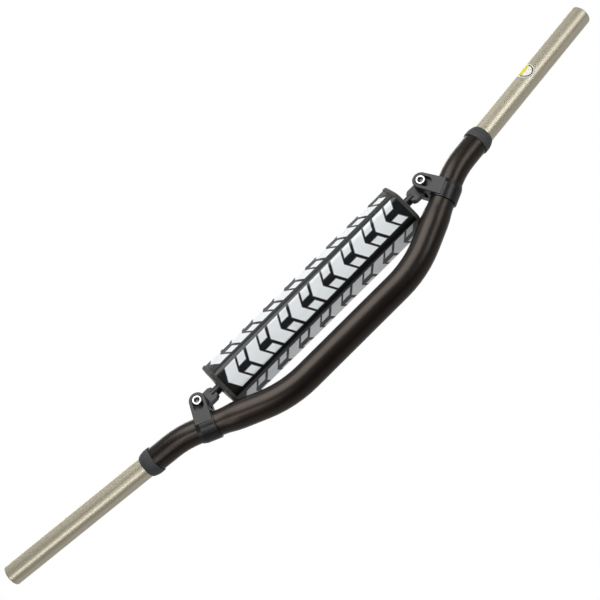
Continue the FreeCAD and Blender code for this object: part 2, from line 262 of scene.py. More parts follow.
def makeLamp(name, setup):
    aside = math.radians(setup["aside"])
    above = math.radians(setup["above"])
    flat = math.cos(aside) * levelBack + math.sin(aside) * levelRight
    away = (math.cos(above) * flat + math.sin(above) * levelUp).normalized()
    data = bpy.data.lights.new(name, "AREA")
    data.shape = "RECTANGLE"
    data.size, data.size_y = setup["size"]
    data.energy = setup["power"]
    lamp = bpy.data.objects.new(name, data)
    scene.collection.objects.link(lamp)
    upright = (levelUp - away * levelUp.dot(away)).normalized()
    across = upright.cross(away)
    turned = Matrix((across, upright, away)).transposed().to_4x4()
    target = Vector(cameraSetup["aim"])
    lamp.matrix_world = Matrix.Translation(target + away * setup["distance"]) @ turned
    lamp.visible_camera = False


makeStage(stageSetup)
makeWorld(worldSetup)
for lampName, lampValues in lampSetup.items():
    makeLamp(lampName, lampValues)
print("stage and lamps set")


# Shared effects, each a node group; an input without a value is a vector, the rest are numbers
def newGroup(name, inputs, outputs):
    tree = bpy.data.node_groups.new(name, "ShaderNodeTree")
    for label, value in inputs.items():
        kind = "NodeSocketVector" if value is None else "NodeSocketFloat"
        socket = tree.interface.new_socket(name=label, in_out="INPUT", socket_type=kind)
        if value is not None:
            socket.default_value = value
    for label in outputs:
        tree.interface.new_socket(name=label, in_out="OUTPUT", socket_type="NodeSocketFloat")
    return tree, tree.nodes.new("NodeGroupInput").outputs, tree.nodes.new("NodeGroupOutput").inputs


def placeGroup(tree, group, **values):
    node = tree.nodes.new("ShaderNodeGroup")
    node.node_tree = group
    for label, value in values.items():
        feed(tree, node.inputs[label], value)
    return node.outputs


# fine even grain of a blasted or moulded surface
def makeGrainGroup():
    tree, given, result = newGroup("fineGrain", {"Vector": None, "Size": 0.0006}, ("Value", "Cloud"))
    scale = mathNode(tree, "DIVIDE", 1.0, given["Size"])
    tree.links.new(noiseNode(tree, given["Vector"], scale, 4.0, 0.6), result["Value"])
    wide = mathNode(tree, "MULTIPLY", scale, 0.02)
    tree.links.new(noiseNode(tree, given["Vector"], wide, 3.0, 0.5), result["Cloud"])
    return tree


# brushed streaks along the X of the vector
def makeStreakGroup():
    inputs = {"Vector": None, "Length": 0.05, "Width": 0.0005}
    tree, given, result = newGroup("brushedStreaks", inputs, ("Value",))
    spans = (given["Length"], given["Width"], given["Width"])
    parts = splitNode(tree, given["Vector"])
    cells = [mathNode(tree, "DIVIDE", part, span) for part, span in zip(parts, spans)]
    tree.links.new(noiseNode(tree, joinNode(tree, cells), 1.0, 3.0, 0.6), result["Value"])
    return tree


# worn bright edges, broken up by noise
def makeWearGroup():
    inputs = {"Vector": None, "Reach": 0.0005, "Amount": 1.0}
    tree, given, result = newGroup("edgeWear", inputs, ("Mask",))
    bevel = tree.nodes.new("ShaderNodeBevel")
    bevel.samples = 6
    tree.links.new(given["Reach"], bevel.inputs["Radius"])
    plain = tree.nodes.new("ShaderNodeNewGeometry").outputs["Normal"]
    alike = vectorNode(tree, "DOT_PRODUCT", bevel.outputs[0], plain)
    sharp = mathNode(tree, "MULTIPLY", mathNode(tree, "SUBTRACT", 1.0, alike), 5.0, clamp=True)
    patch = noiseNode(tree, given["Vector"], 420.0, 4.0, 0.65)
    broken = mathNode(tree, "MULTIPLY", sharp, spreadValue(tree, patch, 0.1, 1.4))
    tree.links.new(mathNode(tree, "MULTIPLY", broken, given["Amount"], clamp=True), result["Mask"])
    return tree


# plain weave on sewn coordinates in metres
def makeWeaveGroup():
    tree, given, result = newGroup("plainWeave", {"Vector": None, "Pitch": 0.001}, ("Height", "Gap"))
    threads = []
    cells = []
    for part in splitNode(tree, given["Vector"])[:2]:
        count = mathNode(tree, "DIVIDE", part, given["Pitch"])
        cells.append(mathNode(tree, "FLOOR", count))
        wave = mathNode(tree, "SINE", mathNode(tree, "MULTIPLY", count, math.pi))
        threads.append(mathNode(tree, "ABSOLUTE", wave))
    turn = mathNode(tree, "PINGPONG", mathNode(tree, "ADD", cells[0], cells[1]), 1.0)
    over = mathNode(tree, "MULTIPLY", threads[0], turn)
    under = mathNode(tree, "MULTIPLY", threads[1], mathNode(tree, "SUBTRACT", 1.0, turn))
    height = mathNode(tree, "ADD", over, under)
    tree.links.new(height, result["Height"])
    tree.links.new(mathNode(tree, "LESS_THAN", height, 0.25), result["Gap"])
    return tree


# faint cloudy film that changes the gloss
def makeFilmGroup():
    inputs = {"Vector": None, "Low": 0.2, "High": 0.3, "Size": 0.03}
    tree, given, result = newGroup("handledFilm", inputs, ("Roughness",))
    scale = mathNode(tree, "DIVIDE", 1.0, given["Size"])
    cloud = noiseNode(tree, given["Vector"], scale, 5.0, 0.65)
    span = mathNode(tree, "SUBTRACT", given["High"], given["Low"])
    tree.links.new(mathNode(tree, "MULTIPLY_ADD", cloud, span, given["Low"]), result["Roughness"])
    return tree


grainGroup = makeGrainGroup()
streakGroup = makeStreakGroup()
wearGroup = makeWearGroup()
weaveGroup = makeWeaveGroup()
filmGroup = makeFilmGroup()


def newMaterial(name, colour, roughness, metallic=0.0):
    material = bpy.data.materials.new(name)
    material.use_nodes = True
    shader = material.node_tree.nodes["Principled BSDF"]
    shader.inputs["Base Color"].default_value = (*colour, 1)
    shader.inputs["Roughness"].default_value = roughness
    shader.inputs["Metallic"].default_value = metallic
    return material, material.node_tree, shader.inputs


def addFilm(tree, inputs, film):
    low, high, size = film
    cloud = placeGroup(tree, filmGroup, Vector=objectCoordinates(tree), Low=low, High=high, Size=size)
    tree.links.new(cloud["Roughness"], inputs["Roughness"])


# what the plain metals and the rubber share: cloudy colour, worn edges, film and grain
def finishSurface(tree, inputs, setup):
    spot = objectCoordinates(tree)
    grain = placeGroup(tree, grainGroup, Vector=spot, Size=setup["grain"])
    colour = mixColour(tree, grain["Cloud"], setup["colour"], setup["cloud"])
    if "edge" in setup:
        reach, amount = setup["wear"]
        worn = placeGroup(tree, wearGroup, Vector=spot, Reach=reach, Amount=amount)["Mask"]
        colour = mixColour(tree, worn, colour, setup["edge"])
    tree.links.new(colour, inputs["Base Color"])
    addFilm(tree, inputs, setup["film"])
    tree.links.new(bumpNode(tree, grain["Value"], setup["bump"]), inputs["Normal"])
    return colour


def makePlainFinish(name, setup, roughness, metallic):
    material, tree, inputs = newMaterial(name, setup["colour"], roughness, metallic)
    finishSurface(tree, inputs, setup)
    return material


mounts = {m["name"]: m for m in frame["record"]["mounts"]}
leftGrip = mounts["left_grip"]
gripAxis = Vector(leftGrip["axis"]).normalized()
gripMiddle = Vector(leftGrip["pos_m"])

# Grips: hard anodised tube, champagne grey with fine lengthwise streaks
gripFinish = {"dark": (0.460, 0.420, 0.315), "light": (0.640, 0.590, 0.465), "streakLength": 0.15,
              "streakWidth": 0.0008, "tone": (-0.9, 1.9), "rough": (0.34, 0.42), "sideShift": 2.7,
              "bump": 0.0000006}


def makeGripMetal(setup):
    material, tree, inputs = newMaterial("gripAnodised", setup["light"], 0.5, 0.6)
    x, y, z = splitNode(tree, objectCoordinates(tree))
    folded = joinNode(tree, (mathNode(tree, "ABSOLUTE", x), y, z))  # right grip onto the left
    across = gripAxis.cross(Vector((0, 0, 1))).normalized()
    fromAxis = vectorNode(tree, "SUBTRACT", folded, tuple(gripMiddle))
    run, side, over = [vectorNode(tree, "DOT_PRODUCT", fromAxis, tuple(way))
                       for way in (gripAxis, across, gripAxis.cross(across))]
    shift = mathNode(tree, "MULTIPLY", mathNode(tree, "SIGN", x), setup["sideShift"])
    along = joinNode(tree, (mathNode(tree, "ADD", run, shift), side, over))
    length, width = setup["streakLength"], setup["streakWidth"]
    streaks = placeGroup(tree, streakGroup, Vector=along, Length=length, Width=width)["Value"]
    wideStreaks = placeGroup(tree, streakGroup, Vector=along, Length=length * 3, Width=width * 6)["Value"]
    both = mathNode(tree, "MULTIPLY_ADD", wideStreaks, 0.6, mathNode(tree, "MULTIPLY", streaks, 0.4))
    tone = spreadValue(tree, both, *setup["tone"])
    tree.links.new(mixColour(tree, tone, setup["dark"], setup["light"]), inputs["Base Color"])
    tree.links.new(spreadValue(tree, streaks, *setup["rough"]), inputs["Roughness"])
    tree.links.new(bumpNode(tree, streaks, setup["bump"]), inputs["Normal"])
    return material


# Outer tube: bronze black anodising on a finely blasted tube
barFinish = {"colour": (0.034, 0.0295, 0.0268), "cloud": (0.049, 0.0405, 0.0345),
             "edge": (0.10, 0.092, 0.080), "wear": (0.0004, 0.25), "film": (0.30, 0.40, 0.05),
             "grain": 0.0005, "bump": 0.000010}

# Clamps and crossbar ends: machined, satin anodised dark grey
clampFinish = {"colour": (0.030, 0.030, 0.0305), "cloud": (0.045, 0.045, 0.04575),
               "edge": (0.16, 0.16, 0.16), "wear": (0.00035, 0.55), "film": (0.30, 0.42, 0.012),
               "grain": 0.0004, "bump": 0.000008}

# Collars: matt moulded rubber
collarFinish = {"colour": (0.026, 0.030, 0.029), "cloud": (0.060, 0.066, 0.063),
                "edge": (0.10, 0.105, 0.10), "wear": (0.0006, 0.5), "film": (0.52, 0.74, 0.01),
                "grain": 0.0007, "bump": 0.00005}

# Bolts: bright zinc, with painted shade darkening the inside of the hex socket
boltFinish = {"colour": (0.40, 0.41, 0.43), "cloud": (0.58, 0.59, 0.61), "socket": (0.085, 0.088, 0.092),
              "socketRadius": 0.0030, "socketFrom": 0.0001, "socketTo": 0.0042, "film": (0.20, 0.38, 0.004),
              "grain": 0.0003, "bump": 0.000006}


def makeBoltZinc(setup):
    material, tree, inputs = newMaterial("boltZinc", setup["cloud"], 0.24, 1.0)
    colour = finishSurface(tree, inputs, setup)
    low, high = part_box("left_clamp_bolt")
    x, y, z = splitNode(tree, objectCoordinates(tree))
    across = mathNode(tree, "SUBTRACT", mathNode(tree, "ABSOLUTE", x), (low[0] + high[0]) / 2)
    over = mathNode(tree, "SUBTRACT", z, (low[2] + high[2]) / 2)
    depth = mathNode(tree, "SUBTRACT", y, low[1])
    squares = mathNode(tree, "MULTIPLY_ADD", across, across, mathNode(tree, "MULTIPLY", over, over))
    inner = mathNode(tree, "LESS_THAN", squares, setup["socketRadius"] ** 2)
    deep = mathNode(tree, "MULTIPLY", mathNode(tree, "GREATER_THAN", depth, setup["socketFrom"]),
                    mathNode(tree, "LESS_THAN", depth, setup["socketTo"]))
    # painted shade: the socket colour darkens the inside of the hex socket, where shade falls
    socket = mathNode(tree, "MULTIPLY", inner, deep)
    tree.links.new(mixColour(tree, socket, colour, setup["socket"]), inputs["Base Color"])
    return material


gripMetal = makeGripMetal(gripFinish)
barMetal = makePlainFinish("barAnodised", barFinish, 0.38, 0.92)
clampMetal = makePlainFinish("clampAnodised", clampFinish, 0.40, 0.9)
collarRubber = makePlainFinish("collarRubber", collarFinish, 0.62, 0.0)
boltZinc = makeBoltZinc(boltFinish)

nodeFinish = {"inner_tube": gripMetal, "outer_tube": barMetal, "crossbar_tube": clampMetal}
for side in ("left", "right"):
    nodeFinish[side + "_end_collar"] = collarRubber
    nodeFinish[side + "_bar_clamp"] = clampMetal
    nodeFinish[side + "_crossbar_end"] = clampMetal
for nodeName, nodeMaterial in nodeFinish.items():
    for materialSlot in frame["nodes"][nodeName].material_slots:
        materialSlot.material = nodeMaterial
print("metal and rubber finishes set")


# A mesh piece; sewn gives each point's place on the flat cloth in metres
def meshPiece(name, points, faces, material, sewn=None):
    mesh = bpy.data.meshes.new(name)
    mesh.from_pydata(points, [], faces)
    mesh.update()
    if sewn is not None:
        layer = mesh.uv_layers.new(name="sewn")
        for loop in mesh.loops:
            layer.data[loop.index].uv = sewn[loop.vertex_index]
    for polygon in mesh.polygons:
        polygon.use_smooth = True
    mesh.materials.append(material)
    piece = bpy.data.objects.new(name, mesh)
    scene.collection.objects.link(piece)
    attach(piece, body)
    return piece


# all faces of a closed piece turned outwards
def turnOutwards(piece):
    work = bmesh.new()
    work.from_mesh(piece.data)
    bmesh.ops.recalc_face_normals(work, faces=work.faces)
    work.to_mesh(piece.data)
    work.free()


# the sheet's front turned to the side that way points to
def faceSheet(piece, way, number=0):
    if piece.data.polygons[number].normal.dot(way) < 0:
        piece.data.flip_normals()


# a wall given to a sheet, to its front with offset 1 and to its back with -1
def addWall(piece, thickness, offset):
    solid = piece.modifiers.new("wall", "SOLIDIFY")
    solid.thickness = thickness
    solid.offset = offset
    return solid


# rows of points over two lists; at gives a point and its place on the flat cloth
def gridPoints(firsts, seconds, at):
    points = []
    sewn = []
    rows = []
    for first in firsts:
        rows.append(list(range(len(points), len(points) + len(seconds))))
        for second in seconds:
            point, flat = at(first, second)
            points.append(point)
            sewn.append(flat)
    return points, sewn, rows


# quads between rows of point numbers
def quadRows(rows, closed=False):
    faces = []
    for upper, lower in zip(rows, rows[1:]):
        count = len(upper)
        for i in range(count if closed else count - 1):
            j = (i + 1) % count
            faces.append((upper[i], upper[j], lower[j], lower[i]))
    return faces


# The pad's section: six flats joined by rounded folds, its front turned up a little.
# g is the way round in metres: down the lower back face, under the pad, up its front and over the top.
foamLow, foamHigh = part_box("pad_foam")
barLow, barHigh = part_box("crossbar_tube")
loopLow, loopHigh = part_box("pad_loop_strip")
padSize = {
    "coverWall": 1.2 * mm,
    "foldRadius": 9.0 * mm,
    "turn": 6.5,
    "plumped": 0.6 * mm,
    "settled": 0.5 * mm,
    "crown": 0.35 * mm,
    "rimAt": 126.6 * mm,
    "slitGap": 1.6 * mm,
    "flapRise": 3.3 * mm,
    "flapDroop": 0.9 * mm,
    "domeDepth": 3.5 * mm,
    "holeRadius": 6.2 * mm,
}
padY = (foamLow[1] + foamHigh[1]) / 2
padZ = (foamLow[2] + foamHigh[2]) / 2 - padSize["settled"]
crossbarZ = (barLow[2] + barHigh[2]) / 2
apothem = (foamHigh[2] - foamLow[2]) / 2 + padSize["coverWall"] + padSize["plumped"]
foldRadius = padSize["foldRadius"]
flatWay = 2 * (apothem - foldRadius) * math.tan(math.radians(30))
foldWay = foldRadius * math.radians(60)
faceWay = flatWay + foldWay
padTip = foamHigh[0] + padSize["coverWall"]
padReach = apothem / math.cos(math.radians(30))
domeRadius = (padReach ** 2 + padSize["domeDepth"] ** 2) / (2 * padSize["domeDepth"])


# point (y, z), outward normal angle and the flat's share of crown at g
def padSection(g, grow=0.0):
    face = math.floor(g / faceWay)
    way = g - face * faceWay
    angle = math.radians(-30 - padSize["turn"] - 60 * face)
    outY, outZ = math.cos(angle), math.sin(angle)
    alongY, alongZ = outZ, -outY
    if way <= flatWay:
        lift = padSize["crown"] * math.sin(math.pi * way / flatWay) ** 2 if grow >= -0.0001 else 0.0
        y = outY * (apothem + grow + lift) + alongY * (way - flatWay / 2)
        z = outZ * (apothem + grow + lift) + alongZ * (way - flatWay / 2)
        return padY + y, padZ + z, angle
    turn = (way - flatWay) / foldRadius
    y = outY * (apothem - foldRadius) + alongY * flatWay / 2
    z = outZ * (apothem - foldRadius) + alongZ * flatWay / 2
    angle -= turn
    y += math.cos(angle) * (foldRadius + grow)
    z += math.sin(angle) * (foldRadius + grow)
    return padY + y, padZ + z, angle


# the point at x and g lifted off the section, and the way out there
def padPoint(x, g, lift):
    y, z, angle = padSection(g)
    outY, outZ = math.cos(angle), math.sin(angle)
    return Vector((x, y + outY * lift, z + outZ * lift)), Vector((0, outY, outZ))


# g where the back of the section comes down to a height, searched from the fold above it
def padWayAt(height):
    g = -foldWay
    while padSection(g)[1] > height:
        g += 0.00002
    return g


slitLow = crossbarZ - padSize["slitGap"] / 2
closureMargin = slitLow - loopHigh[2]
slitLowWay = padWayAt(slitLow)
slitTopWay = padWayAt(slitLow + padSize["slitGap"]) + 6 * faceWay
stripTopWay = padWayAt(loopHigh[2])
stripLowWay = stripTopWay + (loopHigh[2] - loopLow[2]) / math.cos(math.radians(30))
flapEndWay = stripLowWay + closureMargin + 6 * faceWay
flapHalf = loopHigh[0] + closureMargin


# ways round between two places, closer together on the folds and none too near the ends
def padWays(start, end):
    ways = [start]
    face = math.floor(start / faceWay)
    while face * faceWay < end:
        base = face * faceWay
        steps = [base + flatWay * i / 9 for i in range(9)]
        steps += [base + flatWay + foldWay * i / 8 for i in range(8)]
        ways += [g for g in steps if start + 0.0003 < g < end - 0.0003]
        face += 1
    return ways + [end]


def smoothStep(value):
    value = min(1.0, max(0.0, value))
    return value * value * (3 - 2 * value)


# how far out the domed end stands at (y, z)
def domeX(y, z):
    out = math.hypot(y - padY, z - padZ)
    return padTip - (domeRadius - math.sqrt(domeRadius ** 2 - out ** 2))


# Vinyl: gloss black with rows of a white tread block print
vinylFinish = {
    "black": (0.0040, 0.0043, 0.0047),
    "white": (0.78, 0.81, 0.83),
    "outline": (0.10, 0.105, 0.11),
    "repeat": 0.0294,
    "rowsRound": 5,
    "rowsPrinted": (-1, 2),
    "rowRise": 0.0010,
    "rowLean": 0.017,
    "halfHeight": 0.0122,
    "halfLength": 0.1176,
    "slant": 0.55,
    "chevron": (0.0016, 0.0152),
    "block": (0.0180, 0.0272),
    "blockFrom": 0.0040,
    "soft": 0.00022,
    "outlineWidth": 0.0007,
    "weave": 0.0010,
    "weaveShade": (0.02, 0.02, 0.02),
    "weaveShare": 0.10,
    "weaveBump": 0.00003,
    "film": (0.17, 0.30, 0.02),
}


# how far inside a printed block a point is; below zero is outside
def makePrintGroup(setup):
    tree, given, result = newGroup("treadPrint", {"Along": 0.0, "Height": 0.0}, ("Inside",))
    high = mathNode(tree, "ABSOLUTE", given["Height"])
    swept = mathNode(tree, "MULTIPLY_ADD", high, -setup["slant"], given["Along"])
    swept = mathNode(tree, "ADD", swept, setup["slant"] * setup["halfHeight"] / 2)
    place = mathNode(tree, "FLOORED_MODULO", swept, setup["repeat"])

    def within(span):
        low = mathNode(tree, "SUBTRACT", place, span[0])
        top = mathNode(tree, "SUBTRACT", span[1], place)
        return mathNode(tree, "MINIMUM", low, top)

    fromMiddle = mathNode(tree, "SUBTRACT", high, setup["blockFrom"])
    outer = mathNode(tree, "MINIMUM", within(setup["block"]), fromMiddle)
    either = mathNode(tree, "MAXIMUM", within(setup["chevron"]), outer)
    lowEnough = mathNode(tree, "SUBTRACT", setup["halfHeight"], high)
    nearEnough = mathNode(tree, "SUBTRACT", setup["halfLength"], mathNode(tree, "ABSOLUTE", swept))
    either = mathNode(tree, "MINIMUM", either, mathNode(tree, "MINIMUM", lowEnough, nearEnough))
    tree.links.new(either, result["Inside"])
    return tree


def makePadVinyl(setup):
    material, tree, inputs = newMaterial("padVinyl", setup["black"], 0.2)
    sewn = sewnCoordinates(tree)
    along, way = splitNode(tree, sewn)[:2]
    rowWay = 6 * faceWay / setup["rowsRound"]
    frontRow = 2 * faceWay + flatWay / 2 + setup["rowRise"]
    leaning = mathNode(tree, "MULTIPLY_ADD", along, -setup["rowLean"], way)
    fromFront = mathNode(tree, "SUBTRACT", leaning, frontRow)
    rowNumber = mathNode(tree, "ROUND", mathNode(tree, "DIVIDE", fromFront, rowWay))
    height = mathNode(tree, "SUBTRACT", fromFront, mathNode(tree, "MULTIPLY", rowNumber, rowWay))
    inside = placeGroup(tree, makePrintGroup(setup), Along=along, Height=height)["Inside"]
    firstRow, lastRow = setup["rowsPrinted"]
    printed = mathNode(tree, "MULTIPLY", mathNode(tree, "GREATER_THAN", rowNumber, firstRow - 0.5),
                       mathNode(tree, "LESS_THAN", rowNumber, lastRow + 0.5))
    wide = mathNode(tree, "ADD", inside, setup["outlineWidth"])
    white = mathNode(tree, "MULTIPLY", softEdge(tree, inside, setup["soft"]), printed)
    outline = mathNode(tree, "MULTIPLY", softEdge(tree, wide, setup["soft"]), printed)
    colour = mixColour(tree, outline, setup["black"], setup["outline"])
    colour = mixColour(tree, white, colour, setup["white"])
    weave = placeGroup(tree, weaveGroup, Vector=sewn, Pitch=setup["weave"])
    shade = mathNode(tree, "MULTIPLY", weave["Gap"], setup["weaveShare"])
    tree.links.new(mixColour(tree, shade, colour, setup["weaveShade"]), inputs["Base Color"])
    addFilm(tree, inputs, setup["film"])
    tree.links.new(bumpNode(tree, weave["Height"], setup["weaveBump"]), inputs["Normal"])
    inputs["Specular IOR Level"].default_value = 0.38
    inputs["Coat Weight"].default_value = 0.15
    inputs["Coat Roughness"].default_value = 0.14
    return material


# Cloths of the pad's ends, its closure and its seams
clothFinish = {
    "endPanelCloth": {"colour": (0.155, 0.160, 0.128), "light": (0.240, 0.245, 0.200),
                      "pitch": 0.0007, "bump": 0.00008},
    "bindingTape": {"colour": (0.013, 0.0135, 0.011), "light": (0.046, 0.048, 0.038),
                    "pitch": 0.0006, "bump": 0.00006},
    "closureTape": {"colour": (0.014, 0.014, 0.015), "light": (0.050, 0.050, 0.052),
                    "pitch": 0.0005, "bump": 0.0002},
    "seamThread": {"colour": (0.030, 0.030, 0.032), "light": (0.075, 0.075, 0.078),
                   "pitch": 0.0003, "bump": 0.00004},
}


def makeCloth(name, setup):
    material, tree, inputs = newMaterial(name, setup["colour"], 0.86)
    weave = placeGroup(tree, weaveGroup, Vector=sewnCoordinates(tree), Pitch=setup["pitch"])
    fuzz = placeGroup(tree, grainGroup, Vector=objectCoordinates(tree), Size=0.0005)
    half = mathNode(tree, "MULTIPLY", weave["Height"], 0.5)
    tone = mathNode(tree, "MULTIPLY_ADD", fuzz["Value"], 0.5, half)
    colour = mixColour(tree, tone, setup["colour"], setup["light"])
    tree.links.new(colour, inputs["Base Color"])
    tree.links.new(bumpNode(tree, tone, setup["bump"]), inputs["Normal"])
    inputs["Sheen Weight"].default_value = 0.25
    inputs["Sheen Roughness"].default_value = 0.5
    return material


# Foam: black, with closed cells
foamFinish = {"dark": (0.015, 0.015, 0.015), "light": (0.055, 0.055, 0.055),
              "cells": 1400.0, "bump": 0.0003}


def makeFoam(setup):
    material, tree, inputs = newMaterial("padFoam", setup["dark"], 0.95)
    cells = tree.nodes.new("ShaderNodeTexVoronoi")
    tree.links.new(objectCoordinates(tree), cells.inputs["Vector"])
    cells.inputs["Scale"].default_value = setup["cells"]
    spread = spreadValue(tree, cells.outputs["Distance"], 0.2, 1.0)
    colour = mixColour(tree, spread, setup["dark"], setup["light"])
    tree.links.new(colour, inputs["Base Color"])
    tree.links.new(bumpNode(tree, cells.outputs["Distance"], setup["bump"]), inputs["Normal"])
    return material


padVinyl = makePadVinyl(vinylFinish)
cloths = {name: makeCloth(name, setup) for name, setup in clothFinish.items()}
foamBlack = makeFoam(foamFinish)

# Cover: one vinyl sheet from the slit right round, and on over the slit as the closure flap
coverDetail = {"stationStep": 1.6 * mm, "pucker": 0.22 * mm, "puckerReach": 5.0 * mm,
               "puckerStep": 5.2 * mm, "ripple": 0.10 * mm, "rippleSize": 35.0 * mm,
               "riseBefore": 2.2 * mm, "riseWay": 6.2 * mm, "sideBeyond": 1.2 * mm,
               "sideWay": 3.0 * mm, "flapWay": 6.0 * mm, "thinner": 0.08 * mm}


# how far the vinyl stands off the section: ripple, puckers at the rims, and the flap over the closure
def coverLift(x, g):
    detail = coverDetail
    lift = detail["ripple"] * noise.noise(Vector((x, g * 0.8, 3.0)) / detail["rippleSize"])
    fromRim = max(0.0, padSize["rimAt"] - abs(x))
    phase = 2 * math.pi * g / detail["puckerStep"]
    phase += 2.0 * noise.noise(Vector((g * 90, math.copysign(1, x), 0)))
    lift += detail["pucker"] * math.exp(-fromRim / detail["puckerReach"]) * (math.sin(phase) - 0.6)
    rise = smoothStep((g - slitTopWay + detail["riseBefore"]) / detail["riseWay"])
    reach = smoothStep((flapHalf + detail["sideBeyond"] - abs(x)) / detail["sideWay"])
    beyond = smoothStep((g - slitTopWay) / detail["flapWay"])
    droop = smoothStep((g - flapEndWay) / (2 * closureMargin) + 1)
    return lift + (padSize["flapRise"] * rise - padSize["flapDroop"] * droop) * max(reach, beyond)


def coverPoint(x, g):
    return padPoint(x, g, coverLift(x, g))


# how far the vinyl stands out under the binding's edge
def rimLift(sign, g):
    return max(0.0, coverLift(sign * (padSize["rimAt"] - 3.0 * mm), g))


def makeCover():
    mainWays = padWays(slitLowWay, slitTopWay)
    flapWays = padWays(slitTopWay, flapEndWay)[1:]
    count = round(2 * padSize["rimAt"] / coverDetail["stationStep"])
    stations = [padSize["rimAt"] * (2 * i / count - 1) for i in range(count + 1)]
    edges = [-flapHalf, flapHalf]  # stations very near these give way to them
    stations = sorted([x for x in stations if min(abs(x - e) for e in edges) > 0.0006] + edges)
    points = []
    sewn = []
    rows = []
    for x in stations:
        ways = mainWays + (flapWays if abs(x) < flapHalf + 0.00001 else [])
        rows.append(list(range(len(points), len(points) + len(ways))))
        for g in ways:
            points.append(coverPoint(x, g)[0])
            sewn.append((x, g))
    faces = []
    for first, second in zip(rows, rows[1:]):
        for i in range(min(len(first), len(second)) - 1):
            faces.append((first[i], first[i + 1], second[i + 1], second[i]))
    cover = meshPiece("padCoverSheet", points, faces, padVinyl, sewn)
    sample = len(faces) // 2
    centre = cover.data.polygons[sample].center
    faceSheet(cover, Vector((0, centre.y - padY, centre.z - padZ)), sample)
    addWall(cover, padSize["coverWall"] - coverDetail["thinner"], -1).use_even_offset = True
    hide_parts("pad_cover")


makeCover()
print("pad cover sewn")


# Keyhole section of the foam and the end panels: pairs of a point outside and one at the crossbar's hole
def keyholePairs(ways, inset, holeRadius):
    outer = [padSection(g, inset)[:2] for g in ways]
    angles = [math.atan2(z - crossbarZ, y) % (2 * math.pi) for y, z in outer]
    first, last = angles[0], angles[-1]
    opening = math.asin(padSize["slitGap"] / 2 / holeRadius)
    pairs = []
    for angle, point in zip(angles, outer):
        aimed = opening + (angle - last) / (first - last) * (2 * math.pi - 2 * opening)
        pairs.append((point, (holeRadius * math.cos(aimed), crossbarZ + holeRadius * math.sin(aimed))))
    return pairs


def partWay(pair, t):
    (oy, oz), (iy, iz) = pair
    return oy + (iy - oy) * t, oz + (iz - oz) * t


# Foam core: from the slit to the crossbar, a little clear of the cover and of the end panels
coreSize = {"inset": 0.25 * mm, "holeGrow": 0.2 * mm, "endGap": 0.4 * mm}


def makeFoamCore():
    ways = padWays(slitLowWay, slitTopWay)
    inset = -padSize["coverWall"] - coreSize["inset"]
    pairs = keyholePairs(ways, inset, padSize["holeRadius"] + coreSize["holeGrow"])
    points = []
    rings = []
    for share in (-1.0, -0.985, -0.5, 0.0, 0.5, 0.985, 1.0):
        rows = []
        for t in (0.0, 0.25, 0.5, 0.75, 1.0):
            rows.append(list(range(len(points), len(points) + len(pairs))))
            for pair in pairs:
                y, z = partWay(pair, t)
                tip = domeX(y, z) - padSize["coverWall"] - coreSize["endGap"]
                points.append((share * tip, y, z))
        rings.append(rows)
    faces = quadRows(rings[0]) + quadRows(rings[-1])
    for near, far in zip(rings, rings[1:]):
        for row in (0, -1):
            faces += quadRows([near[row], far[row]])
        for i in (0, -1):
            faces += quadRows([[row[i] for row in near], [row[i] for row in far]])
    core = meshPiece("padFoamCore", points, faces, foamBlack)
    turnOutwards(core)
    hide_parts("pad_foam")


makeFoamCore()
print("foam core made")


# End panels: domed cloth with a hole for the crossbar's neck and a slit to the back
panelSize = {"inset": 0.1 * mm, "rings": 14, "under": 0.05 * mm, "pucker": 0.16 * mm,
             "puckerStep": 6.2 * mm, "ripple": 0.2 * mm, "rippleSize": 12.0 * mm, "thick": 0.9 * mm}


def makeEndPanel(side, sign):
    size = panelSize
    ways = padWays(slitLowWay, slitTopWay)
    pairs = keyholePairs(ways, -padSize["coverWall"] - size["inset"], padSize["holeRadius"])

    def panelPoint(t, i):
        y, z = partWay(pairs[i], t)
        x = domeX(y, z) - size["under"]
        x += size["pucker"] * math.sin(2 * math.pi * ways[i] / size["puckerStep"]) * (1 - t) ** 2
        x += size["ripple"] * noise.noise(Vector((y, z, sign * 0.1)) / size["rippleSize"])
        return (sign * x, y, z), (y, z)

    shares = [j / size["rings"] for j in range(size["rings"] + 1)]
    points, sewn, rows = gridPoints(shares, range(len(ways)), panelPoint)
    faces = quadRows(rows)
    panel = meshPiece(side + "EndPanel", points, faces, cloths["endPanelCloth"], sewn)
    faceSheet(panel, Vector((sign, 0, 0)))
    addWall(panel, size["thick"], -1)
    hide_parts(side + "_pad_end")


# Bindings: tape folded over each rim; its fold as (along, outwards) from the rim in millimetres
bindingSize = {
    "fold": [(-3.0, 0.12), (-3.02, 0.42), (-2.7, 0.68), (-1.4, 0.76), (0.0, 0.72), (0.9, 0.35),
             (1.45, -0.5), (1.6, -1.7), (1.62, -2.9), (1.5, -3.4), (1.25, -3.5), (0.95, -3.2),
             (0.85, -1.4), (0.40, -0.35), (0.12, 0.08)],
    "foldStep": 0.8 * mm,
    "fromSlit": 0.1 * mm,
    "wobble": 0.12 * mm,
    "wobbleSize": 9.0 * mm,
}


